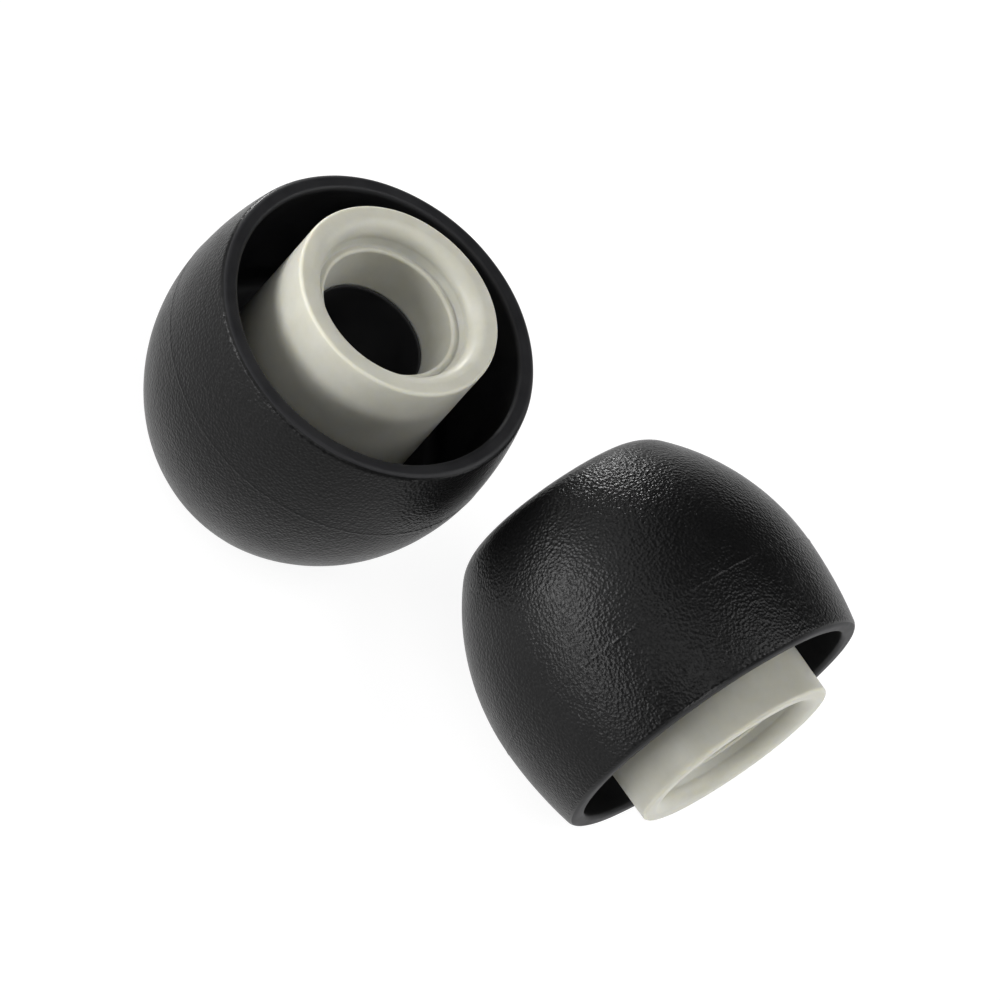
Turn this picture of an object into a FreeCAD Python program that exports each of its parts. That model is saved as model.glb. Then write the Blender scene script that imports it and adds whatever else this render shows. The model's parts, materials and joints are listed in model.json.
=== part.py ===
import FreeCAD, Part
import math
import os
from FreeCAD import Vector

# A pair of soft ear tips for in-ear monitors, in millimetres.
# Each tip is a body of revolution: a thin domed skirt, a core inside it that grips the monitor's
# nozzle, and a sound tube inside the core.
# A tip's own frame has its origin at the centre of the nose face and +Z out of the mouth.
# The row's frame is the left tip's frame: it stands on its nose, mouth up. The right tip lies on
# its side behind it, with its mouth along +X.

# Dome, outside: a flat nose, then arcs that run tangent to one another out to the widest circle,
# then the skirt, which draws in again to the rim.
WIDEST_R = 6.25
DOME_HEIGHT = 9.56
NOSE_FLAT_R = 2.3
NOSE_CROWN_R = 4.2
NOSE_CROWN_END = 13.0      # degrees from the nose face, where the crown meets the shoulder
SHOULDER_R = 1.75
SHOULDER_END = 49.5        # degrees from the nose face, where the shoulder meets the flank
SKIRT_R = 14.6
RIM_OUTER_ROUND = 0.26
RIM_INNER_R = 5.3
RIM_INNER_ROUND = 0.16

# Dome, inside: the annular space between the skirt and the core
SPACE_FLOOR_Z = 3.3
SPACE_FLOOR_ROUND = 0.45
SKIRT_WALL = 0.66          # skirt thickness at the widest circle
SKIRT_ROOT_WALL = 0.8      # skirt thickness at its root
SKIRT_ROOT_Z = 4.3
SOUND_PORT_R = 1.45
SOUND_PORT_ROUND = 0.15

# Core: a tube that stands proud of the rim. Its mouth is a generous round and a shallow step,
# then the bore narrows gently.
CORE_R = 3.77
CORE_PROUD = 1.28
CORE_END_ROUND = 0.12
MOUTH_R = 2.81
MOUTH_ROUND = 0.55
STEP_R = 2.7
STEP_DEPTH = 0.85
STEP_RISE = 0.05           # the step slopes up this much towards the axis
STEP_ROUND = 0.12
COLLAR_BORE_R = 2.42
COLLAR_BORE_END_R = 2.15
COLLAR_END = 1.26          # depth below the rim where the grey bore gives way to the sound tube

# Sound tube: the bore that the monitor's nozzle is pushed into
NOZZLE_BORE_R = 2.1
SOUND_TUBE_R = 2.7

# Neck: the nose end of the core and tube is a ball that the nose wraps, so that the tip can bend
NECK_BELOW_RIM = 5.5
NECK_GAP = 0.05
LEFT_LEAN = 3.0            # degrees that the left core leans off its dome's axis
LEFT_LEAN_AZIMUTH = 121.0  # degrees from +X towards +Y, the way its mouth leans

# Where the right tip lies: the centre of its rim, seen from above
RIGHT_RIM_X = 16.84
RIGHT_RIM_Y = 4.72

RIM_Z = DOME_HEIGHT
CORE_TOP_Z = DOME_HEIGHT + CORE_PROUD
NECK_Z = DOME_HEIGHT - NECK_BELOW_RIM
COLLAR_END_Z = DOME_HEIGHT - COLLAR_END
CROWN_CENTRE = Vector(NOSE_FLAT_R, 0, NOSE_CROWN_R)


def at(r, z):
    """A point of a half section: radius r, height z."""
    return Vector(r, 0, z)


def polar(centre, radius, degrees):
    """The point on a circle in the half section, with degrees counted from +r towards +z."""
    a = math.radians(degrees)
    return centre + Vector(radius * math.cos(a), 0, radius * math.sin(a))


def arc(centre, radius, start, end):
    """An arc of a half section between two angles in degrees."""
    middle = polar(centre, radius, (start + end) / 2)
    return Part.Arc(polar(centre, radius, start), middle, polar(centre, radius, end)).toShape()


def line(a, b):
    return Part.LineSegment(a, b).toShape()


def joined(curves):
    """The curves in order, with a straight edge wherever one doesn't begin where the last ended."""
    edges = []
    for curve in curves:
        begin = curve.valueAt(curve.FirstParameter)
        if edges:
            last = edges[-1].valueAt(edges[-1].LastParameter)
            if last.distanceToPoint(begin) > 1e-6:
                edges.append(line(last, begin))
        edges.append(curve)
    first = edges[0].valueAt(edges[0].FirstParameter)
    last = edges[-1].valueAt(edges[-1].LastParameter)
    if last.distanceToPoint(first) > 1e-6:
        edges.append(line(last, first))
    return edges


def revolved(curves):
    """The solid that a closed half section sweeps round the tip's axis."""
    face = Part.Face(Part.Wire(joined(curves)))
    return face.revolve(Vector(0, 0, 0), Vector(0, 0, 1), 360)


def shoulder_centre():
    return polar(CROWN_CENTRE, NOSE_CROWN_R - SHOULDER_R, NOSE_CROWN_END - 90)


def flank_circle():
    """Centre and radius of the flank, which is tangent to the shoulder and upright where widest."""
    end = polar(shoulder_centre(), SHOULDER_R, SHOULDER_END - 90)
    reach = WIDEST_R - end.x
    radius = reach / (1 - math.sin(math.radians(SHOULDER_END)))
    return polar(end, -radius, SHOULDER_END - 90), radius


def dome_outside():
    """Nose crown, shoulder, flank, skirt and the rim's outer round, from nose to rim."""
    flank, flank_r = flank_circle()
    skirt = at(WIDEST_R - SKIRT_R, flank.z)
    rim_round_z = RIM_Z - RIM_OUTER_ROUND
    skirt_end = math.degrees(math.asin((rim_round_z - skirt.z) / (SKIRT_R - RIM_OUTER_ROUND)))
    rim_round = polar(skirt, SKIRT_R - RIM_OUTER_ROUND, skirt_end)
    return [
        arc(CROWN_CENTRE, NOSE_CROWN_R, -90, NOSE_CROWN_END - 90),
        arc(shoulder_centre(), SHOULDER_R, NOSE_CROWN_END - 90, SHOULDER_END - 90),
        arc(flank, flank_r, SHOULDER_END - 90, 0),
        arc(skirt, SKIRT_R, 0, skirt_end),
        arc(rim_round, RIM_OUTER_ROUND, skirt_end, 90),
    ]


def space_wall():
    """The inner face of the skirt, one arc from the rim's inner round down to the floor's round."""
    flank, flank_r = flank_circle()
    rise = SKIRT_ROOT_Z - flank.z
    high = at(RIM_INNER_R, RIM_Z - RIM_INNER_ROUND)
    widest = at(WIDEST_R - SKIRT_WALL, flank.z)
    low = at(flank.x + math.sqrt(flank_r**2 - rise**2) - SKIRT_ROOT_WALL, SKIRT_ROOT_Z)
    return Part.Arc(high, widest, low).toShape(), low


def dome():
    """Nose, skirt and rim in one piece, hollowed by the space round the core and by the neck."""
    wall, low = space_wall()
    inner_round = at(RIM_INNER_R + RIM_INNER_ROUND, RIM_Z - RIM_INNER_ROUND)
    floor_round = at(low.x - SPACE_FLOOR_ROUND, SPACE_FLOOR_Z + SPACE_FLOOR_ROUND)
    socket_r = CORE_R + NECK_GAP
    socket = at(0, NECK_Z)
    lip_angle = -math.degrees(math.asin((NECK_Z - SPACE_FLOOR_Z) / socket_r))
    port_angle = -math.degrees(math.acos(SOUND_PORT_R / socket_r))
    port_round = at(SOUND_PORT_R + SOUND_PORT_ROUND, SOUND_PORT_ROUND)
    return revolved(
        dome_outside()
        + [
            arc(inner_round, RIM_INNER_ROUND, 90, 180),
            wall,
            arc(floor_round, SPACE_FLOOR_ROUND, 0, -90),
            arc(socket, socket_r, lip_angle, port_angle),
            arc(port_round, SOUND_PORT_ROUND, 180, 270),
        ]
    )


def core():
    """The collar round the sound tube: ball end in the nose, straight outside, rounded mouth."""
    ball = at(0, NECK_Z)
    seat_angle = -math.degrees(math.acos(SOUND_TUBE_R / CORE_R))
    end_round = at(CORE_R - CORE_END_ROUND, CORE_TOP_Z - CORE_END_ROUND)
    mouth_round = at(MOUTH_R + MOUTH_ROUND, CORE_TOP_Z - MOUTH_ROUND)
    step_z = CORE_TOP_Z - STEP_DEPTH
    step_round = at(COLLAR_BORE_R + STEP_ROUND, step_z + STEP_RISE - STEP_ROUND)
    return revolved(
        [
            arc(ball, CORE_R, seat_angle, 0),
            arc(end_round, CORE_END_ROUND, 0, 90),
            arc(mouth_round, MOUTH_ROUND, 90, 180),
            line(polar(mouth_round, MOUTH_ROUND, 180), at(STEP_R, step_z)),
            arc(step_round, STEP_ROUND, 90, 180),
            line(at(COLLAR_BORE_END_R, COLLAR_END_Z), at(SOUND_TUBE_R, COLLAR_END_Z)),
        ]
    )


def sound_tube():
    """The straight bore from the end of the collar's bore to the neck's ball end."""
    ball = at(0, NECK_Z)
    bore_angle = -math.degrees(math.acos(NOZZLE_BORE_R / CORE_R))
    seat_angle = -math.degrees(math.acos(SOUND_TUBE_R / CORE_R))
    return revolved(
        [
            arc(ball, CORE_R, bore_angle, seat_angle),
            line(at(SOUND_TUBE_R, COLLAR_END_Z), at(NOZZLE_BORE_R, COLLAR_END_Z)),
        ]
    )


def leaning(shape, degrees, azimuth):
    """The shape turned about the neck's centre, so that its mouth leans towards the azimuth."""
    a = math.radians(azimuth)
    turned = shape.copy()
    turned.rotate(at(0, NECK_Z), Vector(-math.sin(a), math.cos(a), 0), degrees)
    return turned


def lying(shape):
    """The shape laid on its side, widest circle on the table, mouth along +X."""
    laid = shape.copy()
    laid.rotate(Vector(0, 0, 0), Vector(0, 1, 0), 90)
    laid.translate(Vector(RIGHT_RIM_X - RIM_Z, RIGHT_RIM_Y, WIDEST_R))
    return laid


def pair():
    """Every node of the row, in place."""
    made = {"dome": dome(), "core": core(), "sound_tube": sound_tube()}
    nodes = {"left_dome": made["dome"]}
    for name in ("core", "sound_tube"):
        nodes["left_" + name] = leaning(made[name], LEFT_LEAN, LEFT_LEAN_AZIMUTH)
    for name, shape in made.items():
        nodes["right_" + name] = lying(shape)
    return nodes


def main():
    os.makedirs("parts", exist_ok=True)
    for name, shape in pair().items():
        shape.exportStep(f"parts/{name}.step")
        box = shape.optimalBoundingBox(False, False)
        print(
            f"{name}: valid {shape.isValid()}, {shape.Volume:.2f} mm3, "
            f"x {box.XMin:.2f}..{box.XMax:.2f}, y {box.YMin:.2f}..{box.YMax:.2f}, "
            f"z {box.ZMin:.2f}..{box.ZMax:.2f}"
        )


main()
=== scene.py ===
import json
import math

import bpy
from mathutils import Matrix, Vector, noise


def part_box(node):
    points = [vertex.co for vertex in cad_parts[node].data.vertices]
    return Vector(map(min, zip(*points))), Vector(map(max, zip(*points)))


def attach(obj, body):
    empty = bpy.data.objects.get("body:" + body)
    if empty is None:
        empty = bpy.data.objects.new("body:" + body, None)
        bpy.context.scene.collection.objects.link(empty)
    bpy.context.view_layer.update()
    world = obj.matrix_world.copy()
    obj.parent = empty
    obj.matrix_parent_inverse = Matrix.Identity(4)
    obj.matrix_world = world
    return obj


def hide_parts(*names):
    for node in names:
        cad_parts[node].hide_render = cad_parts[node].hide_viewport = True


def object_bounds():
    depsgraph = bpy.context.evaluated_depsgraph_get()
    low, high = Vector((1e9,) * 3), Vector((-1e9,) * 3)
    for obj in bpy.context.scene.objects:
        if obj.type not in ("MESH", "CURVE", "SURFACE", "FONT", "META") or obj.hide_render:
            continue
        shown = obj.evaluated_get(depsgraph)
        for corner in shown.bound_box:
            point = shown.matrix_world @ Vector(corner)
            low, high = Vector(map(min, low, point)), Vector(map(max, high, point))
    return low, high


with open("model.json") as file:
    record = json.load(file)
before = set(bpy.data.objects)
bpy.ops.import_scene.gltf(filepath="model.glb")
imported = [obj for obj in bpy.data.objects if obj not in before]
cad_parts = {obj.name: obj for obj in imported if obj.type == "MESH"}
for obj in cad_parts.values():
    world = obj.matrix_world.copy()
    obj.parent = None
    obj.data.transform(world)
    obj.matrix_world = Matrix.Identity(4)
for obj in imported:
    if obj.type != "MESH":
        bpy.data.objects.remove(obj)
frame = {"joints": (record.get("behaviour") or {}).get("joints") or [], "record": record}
cad_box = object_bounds()

MM = 0.001

# Dome, outside. Radii are from the tip's axis and heights from its nose face.
NOSE_FLAT_R = 2.3 * MM
NOSE_CROWN_R = 4.2 * MM
NOSE_CROWN_END = 13.0
SHOULDER_R = 1.75 * MM
SHOULDER_END = 49.5
SKIRT_R = 14.6 * MM
RIM_OUTER_ROUND = 0.26 * MM
RIM_INNER_R = 5.3 * MM
RIM_INNER_ROUND = 0.16 * MM

# Dome, inside
SPACE_FLOOR_Z = 3.3 * MM
SPACE_FLOOR_ROUND = 0.45 * MM
SKIRT_WALL = 0.66 * MM
SKIRT_ROOT_WALL = 0.8 * MM
SKIRT_ROOT_Z = 4.3 * MM
SOUND_PORT_R = 1.45 * MM
SOUND_PORT_ROUND = 0.15 * MM

# Core and sound tube
CORE_R = 3.77 * MM
CORE_PROUD = 1.28 * MM
CORE_END_ROUND = 0.12 * MM
MOUTH_R = 2.81 * MM
MOUTH_ROUND = 0.55 * MM
STEP_R = 2.7 * MM
STEP_DEPTH = 0.85 * MM
STEP_RISE = 0.05 * MM
STEP_ROUND = 0.12 * MM
COLLAR_BORE_R = 2.42 * MM
COLLAR_BORE_END_R = 2.15 * MM
COLLAR_END = 1.26 * MM
NOZZLE_BORE_R = 2.1 * MM
SOUND_TUBE_R = 2.7 * MM
NECK_GAP = 0.05 * MM

# Moulding marks in the mesh: the parting's ring, and a slow swell and a finer ripple of the skin
PARTING_HEIGHT = 0.012 * MM
PARTING_WIDTH = 0.05 * MM
PARTING_REACH = 0.25 * MM      # along the section, each side of the ring, with closely set points
SWELL = 0.012 * MM
SWELL_SIZE = 3 * MM
RIPPLE = 0.003 * MM
RIPPLE_SIZE = 0.7 * MM

# Mesh: points round the axis, and the greatest spacing of points along a half section
SEGMENTS = 256
FINE = 0.08 * MM
COARSE = 0.16 * MM
EDGE = 0.02 * MM
SAME_POINT = 1e-7

# Finishes, which are also the dome's material slots
GRAINED = 0
SMOOTH = 1

# Black silicone, grained: noise on rounded cells, in slow patches
GRAINED_SPECULAR = 0.36
GRAIN_SIZE = 0.07 * MM
GRAIN_DEPTH = 0.012 * MM
CELL_SIZE = 0.115 * MM
CELL_DEPTH = 0.021 * MM
CELL_SMOOTHNESS = 0.25
GRAINED_PATCH_SIZE = 1.6 * MM
GRAINED_TONES = (0.005, 0.005, 0.0052), (0.011, 0.011, 0.0112)
GRAINED_ROUGHNESS = 0.28, 0.35

# Black silicone, smooth
RIPPLE_BUMP_SIZE = 0.35 * MM
RIPPLE_BUMP_DEPTH = 0.006 * MM
SMOOTH_PATCH_SIZE = 1.2 * MM
SMOOTH_TONES = (0.014, 0.014, 0.016), (0.022, 0.022, 0.024)
SMOOTH_ROUGHNESS = 0.46, 0.58

# Grey silicone: light sinks in further for red than for blue
GREY_TONES = (0.51, 0.505, 0.448), (0.55, 0.545, 0.492)
GREY_ROUGHNESS = 0.36, 0.46
GREY_SUBSURFACE = 0.7
GREY_SUBSURFACE_RADIUS = (1.0, 0.9, 0.6)
GREY_SUBSURFACE_SCALE = 0.45 * MM
MOTTLE_SIZE = 0.9 * MM
GREY_SKIN_SIZE = 0.12 * MM
GREY_SKIN_DEPTH = 0.003 * MM

SILICONE_IOR = 1.42
NOISE_LOW, NOISE_HIGH = 0.3, 0.7  # the part of the noise's range that tones are spread over


def mount(name):
    return next(m for m in frame["record"]["mounts"] if m["name"] == name)


def joint(name):
    return next(j for j in frame["joints"] if j["name"] == name)


def dome_size():
    """Radius of the widest circle and height of the rim, from the left tip, which stands."""
    low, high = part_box("left_dome")
    return (high.x - low.x) / 2, high.z


WIDEST_R, RIM_Z = dome_size()
NECK_Z = joint("left_neck_bend")["pos_m"][2]
CORE_TOP_Z = RIM_Z + CORE_PROUD
COLLAR_END_Z = RIM_Z - COLLAR_END

# Where the grain stops: degrees up the rim's outer round where the smooth finish begins, the
# height above which the grain has no depth, and the height over which it fades out below that
GRAIN_END = 50
GRAIN_TOP_Z = RIM_Z - 0.06 * MM
GRAIN_FADE = 0.1 * MM


def polar(centre, radius, degrees):
    a = math.radians(degrees)
    return centre[0] + radius * math.cos(a), centre[1] + radius * math.sin(a)


def arc(centre, radius, start, end, step):
    """Points along an arc of the half section, both ends included."""
    n = max(2, math.ceil(radius * math.radians(abs(end - start)) / step))
    return [polar(centre, radius, start + (end - start) * i / n) for i in range(n + 1)]


def line(a, b, step):
    n = max(1, math.ceil(math.dist(a, b) / step))
    return [(a[0] + (b[0] - a[0]) * i / n, a[1] + (b[1] - a[1]) * i / n) for i in range(n + 1)]


def outline(*stretches):
    """One closed half section from stretches of (finish, points): each point starts a face."""
    loop = []
    for finish, points in stretches:
        for p in points:
            if not loop or math.dist(loop[-1][:2], p) > SAME_POINT:
                loop.append((p[0], p[1], finish))
            else:
                loop[-1] = (p[0], p[1], finish)
    return loop


def dome_outside():
    """The dome's grained points, its smooth rim points, and the flank's centre and radius."""
    crown = (NOSE_FLAT_R, NOSE_CROWN_R)
    shoulder = polar(crown, NOSE_CROWN_R - SHOULDER_R, NOSE_CROWN_END - 90)
    end = polar(shoulder, SHOULDER_R, SHOULDER_END - 90)
    flank_r = (WIDEST_R - end[0]) / (1 - math.sin(math.radians(SHOULDER_END)))
    flank = polar(end, -flank_r, SHOULDER_END - 90)
    skirt = (WIDEST_R - SKIRT_R, flank[1])
    rim_z = RIM_Z - RIM_OUTER_ROUND
    skirt_end = math.degrees(math.asin((rim_z - skirt[1]) / (SKIRT_R - RIM_OUTER_ROUND)))
    rim = polar(skirt, SKIRT_R - RIM_OUTER_ROUND, skirt_end)
    ring_flank = math.degrees(PARTING_REACH / flank_r)
    ring_skirt = math.degrees(PARTING_REACH / SKIRT_R)
    grained = (
        line((SOUND_PORT_R + SOUND_PORT_ROUND, 0), (NOSE_FLAT_R, 0), FINE)
        + arc(crown, NOSE_CROWN_R, -90, NOSE_CROWN_END - 90, FINE)
        + arc(shoulder, SHOULDER_R, NOSE_CROWN_END - 90, SHOULDER_END - 90, FINE)
        + arc(flank, flank_r, SHOULDER_END - 90, -ring_flank, FINE)
        + arc(flank, flank_r, -ring_flank, 0, EDGE)
        + arc(skirt, SKIRT_R, 0, ring_skirt, EDGE)
        + arc(skirt, SKIRT_R, ring_skirt, skirt_end, FINE)
        + arc(rim, RIM_OUTER_ROUND, skirt_end, GRAIN_END, EDGE)
    )
    return grained, arc(rim, RIM_OUTER_ROUND, GRAIN_END, 90, EDGE), flank, flank_r


PARTING_Z = dome_outside()[2][1]


def arc_through(a, b, c, step):
    """Points along the arc from a through b to c."""
    ax, ay, bx, by, cx, cy = *a, *b, *c
    d = 2 * (ax * (by - cy) + bx * (cy - ay) + cx * (ay - by))
    ux = ((ax**2 + ay**2) * (by - cy) + (bx**2 + by**2) * (cy - ay) + (cx**2 + cy**2) * (ay - by)) / d
    uy = ((ax**2 + ay**2) * (cx - bx) + (bx**2 + by**2) * (ax - cx) + (cx**2 + cy**2) * (bx - ax)) / d
    start, end = (math.degrees(math.atan2(p[1] - uy, p[0] - ux)) for p in (a, c))
    return arc((ux, uy), math.dist((ux, uy), a), start, end, step)


def dome_outline():
    grained, rim_round, flank, flank_r = dome_outside()
    inner = (RIM_INNER_R + RIM_INNER_ROUND, RIM_Z - RIM_INNER_ROUND)
    reach = math.sqrt(flank_r**2 - (SKIRT_ROOT_Z - flank[1]) ** 2)
    root = (flank[0] + reach - SKIRT_ROOT_WALL, SKIRT_ROOT_Z)
    wall = arc_through(
        (RIM_INNER_R, inner[1]), (WIDEST_R - SKIRT_WALL, flank[1]), root, COARSE
    )
    floor_round = (root[0] - SPACE_FLOOR_ROUND, SPACE_FLOOR_Z + SPACE_FLOOR_ROUND)
    socket = (0, NECK_Z)
    socket_r = CORE_R + NECK_GAP
    lip = -math.degrees(math.asin((NECK_Z - SPACE_FLOOR_Z) / socket_r))
    port = -math.degrees(math.acos(SOUND_PORT_R / socket_r))
    port_round = (SOUND_PORT_R + SOUND_PORT_ROUND, SOUND_PORT_ROUND)
    return outline(
        (GRAINED, grained),
        (SMOOTH, rim_round),
        (SMOOTH, line(rim_round[-1], (inner[0], RIM_Z), FINE)),
        (SMOOTH, arc(inner, RIM_INNER_ROUND, 90, 180, EDGE)),
        (SMOOTH, wall),
        (SMOOTH, line(wall[-1], (root[0], floor_round[1]), FINE)),
        (SMOOTH, arc(floor_round, SPACE_FLOOR_ROUND, 0, -90, FINE)),
        (SMOOTH, line((floor_round[0], SPACE_FLOOR_Z), polar(socket, socket_r, lip), COARSE)),
        (SMOOTH, arc(socket, socket_r, lip, port, COARSE)),
        (SMOOTH, line(polar(socket, socket_r, port), (SOUND_PORT_R, SOUND_PORT_ROUND), COARSE)),
        (SMOOTH, arc(port_round, SOUND_PORT_ROUND, 180, 270, EDGE)),
    )


def core_outline():
    ball = (0, NECK_Z)
    seat = -math.degrees(math.acos(SOUND_TUBE_R / CORE_R))
    end_round = (CORE_R - CORE_END_ROUND, CORE_TOP_Z - CORE_END_ROUND)
    mouth = (MOUTH_R + MOUTH_ROUND, CORE_TOP_Z - MOUTH_ROUND)
    step_z = CORE_TOP_Z - STEP_DEPTH
    step_round = (COLLAR_BORE_R + STEP_ROUND, step_z + STEP_RISE - STEP_ROUND)
    tube_top = (SOUND_TUBE_R, COLLAR_END_Z)
    return outline(
        (SMOOTH, arc(ball, CORE_R, seat, 0, COARSE)),
        (SMOOTH, line((CORE_R, NECK_Z), (CORE_R, end_round[1]), COARSE)),
        (SMOOTH, arc(end_round, CORE_END_ROUND, 0, 90, EDGE)),
        (SMOOTH, line((end_round[0], CORE_TOP_Z), (mouth[0], CORE_TOP_Z), FINE)),
        (SMOOTH, arc(mouth, MOUTH_ROUND, 90, 180, EDGE)),
        (SMOOTH, line((MOUTH_R, mouth[1]), (STEP_R, step_z), FINE)),
        (SMOOTH, line((STEP_R, step_z), (step_round[0], step_z + STEP_RISE), FINE)),
        (SMOOTH, arc(step_round, STEP_ROUND, 90, 180, EDGE)),
        (SMOOTH, line((COLLAR_BORE_R, step_round[1]), (COLLAR_BORE_END_R, COLLAR_END_Z), FINE)),
        (SMOOTH, line((COLLAR_BORE_END_R, COLLAR_END_Z), tube_top, FINE)),
        (SMOOTH, line(tube_top, polar(ball, CORE_R, seat), COARSE)),
    )


def tube_outline():
    ball = (0, NECK_Z)
    bore = -math.degrees(math.acos(NOZZLE_BORE_R / CORE_R))
    seat = -math.degrees(math.acos(SOUND_TUBE_R / CORE_R))
    return outline(
        (SMOOTH, arc(ball, CORE_R, bore, seat, COARSE)),
        (SMOOTH, line(polar(ball, CORE_R, seat), (SOUND_TUBE_R, COLLAR_END_Z), COARSE)),
        (SMOOTH, line((SOUND_TUBE_R, COLLAR_END_Z), (NOZZLE_BORE_R, COLLAR_END_Z), FINE)),
        (SMOOTH, line((NOZZLE_BORE_R, COLLAR_END_Z), polar(ball, CORE_R, bore), COARSE)),
    )


def skin_relief(at):
    """Slow unevenness of moulded silicone, along the surface's normal."""
    return SWELL * noise.noise(at / SWELL_SIZE) + RIPPLE * noise.noise(at / RIPPLE_SIZE)


def dome_relief(at):
    """The skin's unevenness and the fine ring that the mould's parting leaves where it is widest."""
    ring = PARTING_HEIGHT * math.exp(-(((at.z - PARTING_Z) / PARTING_WIDTH) ** 2))
    outside = at.xy.length > WIDEST_R - SKIRT_WALL / 2
    return skin_relief(at) + (ring if outside else 0)


def grain_depth(z):
    """How deep the grain is: full on the skirt, gone where the skirt turns into the rim."""
    share = min(1, max(0, (GRAIN_TOP_Z - z) / GRAIN_FADE))
    return share * share * (3 - 2 * share)


def lathe(name, loop, materials, place, relief):
    """A closed mesh of revolution about the tip's axis, put in its place in the row."""
    verts = []
    grain = []
    for i, (r, z, _) in enumerate(loop):
        (r0, z0), (r1, z1) = loop[i - 1][:2], loop[(i + 1) % len(loop)][:2]
        span = math.hypot(r1 - r0, z1 - z0)
        out_r, out_z = (z1 - z0) / span, (r0 - r1) / span
        for s in range(SEGMENTS):
            a = math.tau * s / SEGMENTS
            at = Vector((r * math.cos(a), r * math.sin(a), z))
            out = Vector((out_r * math.cos(a), out_r * math.sin(a), out_z))
            verts.append(place @ (at + out * relief(at)))
            grain.append(grain_depth(z))
    faces = []
    finishes = []
    for i, (_, _, finish) in enumerate(loop):
        j = (i + 1) % len(loop)
        for s in range(SEGMENTS):
            t = (s + 1) % SEGMENTS
            faces.append((i * SEGMENTS + s, i * SEGMENTS + t, j * SEGMENTS + t, j * SEGMENTS + s))
            finishes.append(finish)
    mesh = bpy.data.meshes.new(name)
    mesh.from_pydata(verts, [], faces)
    for m in materials:
        mesh.materials.append(m)
    if len(materials) > 1:
        mesh.polygons.foreach_set("material_index", finishes)
    mesh.polygons.foreach_set("use_smooth", [True] * len(faces))
    mesh.attributes.new("grain", "FLOAT", "POINT").data.foreach_set("value", grain)
    mesh.update()
    piece = bpy.data.objects.new(name, mesh)
    bpy.context.scene.collection.objects.link(piece)
    return piece


def tip_places():
    """Where each tip's own frame lies in the row: the left one stands, the right one lies."""
    low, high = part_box("right_dome")
    middle = (low + high) / 2
    lying = Matrix.Translation((low.x, middle.y, middle.z)) @ Matrix.Rotation(math.pi / 2, 4, "Y")
    return {"left": Matrix.Identity(4), "right": lying}


def lean(side, place):
    """The turn about the neck that brings the tip's axis onto its bore's."""
    bore = Vector(mount(f"{side}_nozzle_bore")["axis"])
    neck = Matrix.Translation(joint(f"{side}_neck_bend")["pos_m"])
    axis = place.to_3x3() @ Vector((0, 0, 1))
    return neck @ axis.rotation_difference(bore).to_matrix().to_4x4() @ neck.inverted()


def principled(name):
    material = bpy.data.materials.new(name)
    material.use_nodes = True
    return material, material.node_tree, material.node_tree.nodes["Principled BSDF"]


def noise_node(tree, size, detail=2.0, roughness=0.5):
    """Noise whose lumps are about size across, in the mesh's own coordinates."""
    place = tree.nodes.new("ShaderNodeTexCoord")
    texture = tree.nodes.new("ShaderNodeTexNoise")
    texture.inputs["Scale"].default_value = 1 / size
    texture.inputs["Detail"].default_value = detail
    texture.inputs["Roughness"].default_value = roughness
    tree.links.new(place.outputs["Object"], texture.inputs["Vector"])
    return texture


def cells_node(tree, size, smoothness):
    """Rounded cells about size across, for a leathery grain."""
    place = tree.nodes.new("ShaderNodeTexCoord")
    texture = tree.nodes.new("ShaderNodeTexVoronoi")
    texture.feature = "SMOOTH_F1"
    texture.inputs["Scale"].default_value = 1 / size
    texture.inputs["Smoothness"].default_value = smoothness
    tree.links.new(place.outputs["Object"], texture.inputs["Vector"])
    return texture


def spread(tree, texture, low, high):
    """The texture's value, spread from low to high."""
    node = tree.nodes.new("ShaderNodeMapRange")
    node.inputs["From Min"].default_value = NOISE_LOW
    node.inputs["From Max"].default_value = NOISE_HIGH
    node.inputs["To Min"].default_value = low
    node.inputs["To Max"].default_value = high
    tree.links.new(texture.outputs[0], node.inputs["Value"])
    return node.outputs["Result"]


def tinted(tree, shader, texture, dark, light):
    """Base colour between two tones, by the texture."""
    ramp = tree.nodes.new("ShaderNodeValToRGB")
    ramp.color_ramp.elements[0].position = NOISE_LOW
    ramp.color_ramp.elements[0].color = (*dark, 1)
    ramp.color_ramp.elements[1].position = NOISE_HIGH
    ramp.color_ramp.elements[1].color = (*light, 1)
    tree.links.new(texture.outputs[0], ramp.inputs["Fac"])
    tree.links.new(ramp.outputs["Color"], shader.inputs["Base Color"])


def masked(tree, value):
    """The value where the mesh's grain is full, fading with it."""
    mask = tree.nodes.new("ShaderNodeAttribute")
    mask.attribute_name = "grain"
    product = tree.nodes.new("ShaderNodeMath")
    product.operation = "MULTIPLY"
    tree.links.new(value, product.inputs[0])
    tree.links.new(mask.outputs["Fac"], product.inputs[1])
    return product.outputs["Value"]


def bumped(tree, shader, *reliefs):
    """Relief from (value, depth) pairs, one bump after another."""
    below = None
    for value, depth in reliefs:
        bump = tree.nodes.new("ShaderNodeBump")
        bump.inputs["Strength"].default_value = 1
        bump.inputs["Distance"].default_value = depth
        tree.links.new(value, bump.inputs["Height"])
        if below:
            tree.links.new(below.outputs["Normal"], bump.inputs["Normal"])
        below = bump
    tree.links.new(below.outputs["Normal"], shader.inputs["Normal"])


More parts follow.
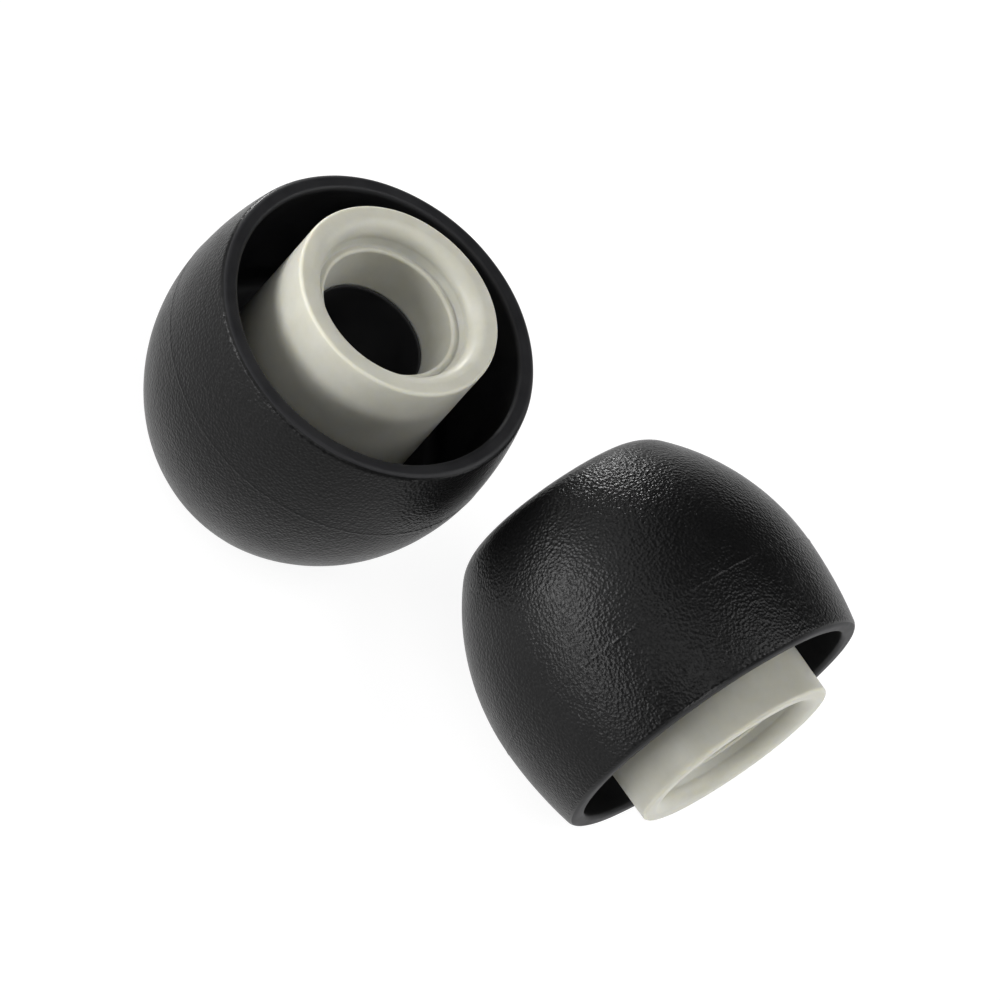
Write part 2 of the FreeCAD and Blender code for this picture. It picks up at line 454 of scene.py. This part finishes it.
def black_grained():
    """The dome's outside: a fine spark-eroded grain, moulded into black silicone."""
    material, tree, shader = principled("black_silicone_grained")
    shader.inputs["IOR"].default_value = SILICONE_IOR
    shader.inputs["Specular IOR Level"].default_value = GRAINED_SPECULAR
    grain = noise_node(tree, GRAIN_SIZE, detail=1)
    cells = cells_node(tree, CELL_SIZE, CELL_SMOOTHNESS)
    patches = noise_node(tree, GRAINED_PATCH_SIZE, detail=3)
    tinted(tree, shader, grain, *GRAINED_TONES)
    tree.links.new(spread(tree, patches, *GRAINED_ROUGHNESS), shader.inputs["Roughness"])
    bumped(
        tree,
        shader,
        (masked(tree, cells.outputs[0]), CELL_DEPTH),
        (masked(tree, grain.outputs[0]), GRAIN_DEPTH),
    )
    return material


def black_smooth():
    """The rim's face and the inside: the polished side of the mould, faintly matte."""
    material, tree, shader = principled("black_silicone_smooth")
    shader.inputs["IOR"].default_value = SILICONE_IOR
    ripple = noise_node(tree, RIPPLE_BUMP_SIZE, detail=4, roughness=0.6)
    patches = noise_node(tree, SMOOTH_PATCH_SIZE, detail=3)
    tinted(tree, shader, patches, *SMOOTH_TONES)
    tree.links.new(spread(tree, patches, *SMOOTH_ROUGHNESS), shader.inputs["Roughness"])
    bumped(tree, shader, (ripple.outputs[0], RIPPLE_BUMP_DEPTH))
    return material


def grey_silicone():
    """The core: stiff, warm grey silicone that light sinks a little way into."""
    material, tree, shader = principled("grey_silicone")
    shader.inputs["IOR"].default_value = SILICONE_IOR
    shader.inputs["Subsurface Weight"].default_value = GREY_SUBSURFACE
    shader.inputs["Subsurface Radius"].default_value = GREY_SUBSURFACE_RADIUS
    shader.inputs["Subsurface Scale"].default_value = GREY_SUBSURFACE_SCALE
    mottle = noise_node(tree, MOTTLE_SIZE, detail=4, roughness=0.6)
    skin = noise_node(tree, GREY_SKIN_SIZE, detail=3)
    tinted(tree, shader, mottle, *GREY_TONES)
    tree.links.new(spread(tree, mottle, *GREY_ROUGHNESS), shader.inputs["Roughness"])
    bumped(tree, shader, (skin.outputs[0], GREY_SKIN_DEPTH))
    return material


def build_tips():
    grained = black_grained()
    smooth = black_smooth()
    grey = grey_silicone()
    for side, place in tip_places().items():
        bent = lean(side, place) @ place
        dome = lathe(f"{side}_dome_skin", dome_outline(), [grained, smooth], place, dome_relief)
        core = lathe(f"{side}_core_skin", core_outline(), [grey], bent, skin_relief)
        tube = lathe(f"{side}_sound_tube_skin", tube_outline(), [smooth], bent, skin_relief)
        for piece, node, slot in (
            (dome, "dome", "black_silicone"),
            (core, "core", "grey_silicone"),
            (tube, "sound_tube", "black_silicone"),
        ):
            body = "dome" if node == "dome" else "core"
            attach(piece, f"{side}_{body}")
            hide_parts(f"{side}_{node}")


# Camera, seen from the row: azimuth from -Y towards +X, height above the table, and roll
CAMERA_AZIMUTH = 14.95
CAMERA_ELEVATION = 48.5
CAMERA_ROLL = 43.43
CAMERA_DISTANCE = 723 * MM
VIEW_WIDTH = 33.5 * MM
AIM_FROM_RIM = Vector((7.69, -1.74, 1.92)) * MM
SENSOR_WIDTH = 36
CLIP_START, CLIP_END = 0.01, 20


def camera_axes():
    a, e, r = (math.radians(x) for x in (CAMERA_AZIMUTH, CAMERA_ELEVATION, CAMERA_ROLL))
    back = Vector((math.sin(a) * math.cos(e), -math.cos(a) * math.cos(e), math.sin(e)))
    level = Vector((math.cos(a), math.sin(a), 0))
    right = level * math.cos(r) + back.cross(level) * math.sin(r)
    return right, back.cross(right), back


def add_camera():
    right, up, back = camera_axes()
    low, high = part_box("left_dome")
    aim = Vector(((low.x + high.x) / 2, (low.y + high.y) / 2, high.z)) + AIM_FROM_RIM
    data = bpy.data.cameras.new("camera")
    data.sensor_width = SENSOR_WIDTH
    data.lens = data.sensor_width * CAMERA_DISTANCE / VIEW_WIDTH
    data.clip_start = CLIP_START
    data.clip_end = CLIP_END
    camera = bpy.data.objects.new("camera", data)
    turn = Matrix((right, up, back)).transposed().to_4x4()
    camera.matrix_world = Matrix.Translation(aim + back * CAMERA_DISTANCE) @ turn
    bpy.context.scene.collection.objects.link(camera)
    bpy.context.scene.camera = camera


# Floor: it glows, so that it stays near white round the tips
FLOOR_VERTICES = 96
FLOOR_RADIUS = 1.5
FLOOR_TONE = 0.15
FLOOR_GLOW = 0.92

# World: grey levels, and the upward part of the view direction where each one holds
HORIZON_RISE, HORIZON_LEVEL = 0.06, 0.25
OVERHEAD_RISE, OVERHEAD_LEVEL = 0.25, 0.03

# Lights: name, azimuth and elevation in degrees, width and height in degrees, radiance
LIGHT_DISTANCE = 400 * MM
LIGHTS = (
    ("key", 228, 11, 32, 22, 10),
    ("key_front", 264, 7, 28, 14, 9),
    ("key_high", 204, 38, 52, 40, 1.6),
    ("back", 150, 5, 10, 8, 40),
    ("low", 0, 6, 16, 10, 9),
    ("fill", 48, 35, 36, 26, 4.5),
    ("top", 290, 58, 46, 26, 2.4),
    ("top_back", 42, 66, 26, 22, 4.6),
)
VIEW_GAMMA = 0.83              # deepens the darks


def add_floor():
    bpy.ops.mesh.primitive_circle_add(
        vertices=FLOOR_VERTICES, radius=FLOOR_RADIUS, fill_type="NGON"
    )
    floor = bpy.context.object
    floor.name = "floor"
    material, _, shader = principled("white_floor")
    shader.inputs["Base Color"].default_value = (FLOOR_TONE, FLOOR_TONE, FLOOR_TONE, 1)
    shader.inputs["Roughness"].default_value = 1
    shader.inputs["Specular IOR Level"].default_value = 0
    shader.inputs["Emission Color"].default_value = (1, 1, 1, 1)
    shader.inputs["Emission Strength"].default_value = FLOOR_GLOW
    floor.data.materials.append(material)


def add_world():
    """Dim all round: a little light from the horizon and below it, almost none from overhead."""
    world = bpy.data.worlds.new("studio")
    world.use_nodes = True
    tree = world.node_tree
    background = tree.nodes["Background"]
    background.inputs["Strength"].default_value = 1
    place = tree.nodes.new("ShaderNodeTexCoord")
    height = tree.nodes.new("ShaderNodeSeparateXYZ")
    ramp = tree.nodes.new("ShaderNodeValToRGB")
    ramp.color_ramp.elements[0].position = HORIZON_RISE
    ramp.color_ramp.elements[0].color = (HORIZON_LEVEL, HORIZON_LEVEL, HORIZON_LEVEL, 1)
    ramp.color_ramp.elements[1].position = OVERHEAD_RISE
    ramp.color_ramp.elements[1].color = (OVERHEAD_LEVEL, OVERHEAD_LEVEL, OVERHEAD_LEVEL, 1)
    tree.links.new(place.outputs["Generated"], height.inputs["Vector"])
    tree.links.new(height.outputs["Z"], ramp.inputs["Fac"])
    tree.links.new(ramp.outputs["Color"], background.inputs["Color"])
    bpy.context.scene.world = world


def softbox(name, azimuth, elevation, width, height, radiance):
    """An area light that faces the row's middle. Angles are degrees as the row sees them."""
    low, high = cad_box
    middle = (Vector(low) + Vector(high)) / 2
    a, e = math.radians(azimuth), math.radians(elevation)
    towards = Vector((math.cos(a) * math.cos(e), math.sin(a) * math.cos(e), math.sin(e)))
    data = bpy.data.lights.new(name, "AREA")
    data.shape = "RECTANGLE"
    data.size = 2 * LIGHT_DISTANCE * math.tan(math.radians(width / 2))
    data.size_y = 2 * LIGHT_DISTANCE * math.tan(math.radians(height / 2))
    data.energy = radiance * math.pi * data.size * data.size_y
    lamp = bpy.data.objects.new(name, data)
    lamp.location = middle + towards * LIGHT_DISTANCE
    lamp.rotation_euler = towards.to_track_quat("Z", "Y").to_euler()
    bpy.context.scene.collection.objects.link(lamp)


def add_lights():
    for light in LIGHTS:
        softbox(*light)


build_tips()
add_camera()
add_floor()
add_world()
add_lights()
bpy.context.scene.view_settings.view_transform = "Standard"
bpy.context.scene.view_settings.gamma = VIEW_GAMMA
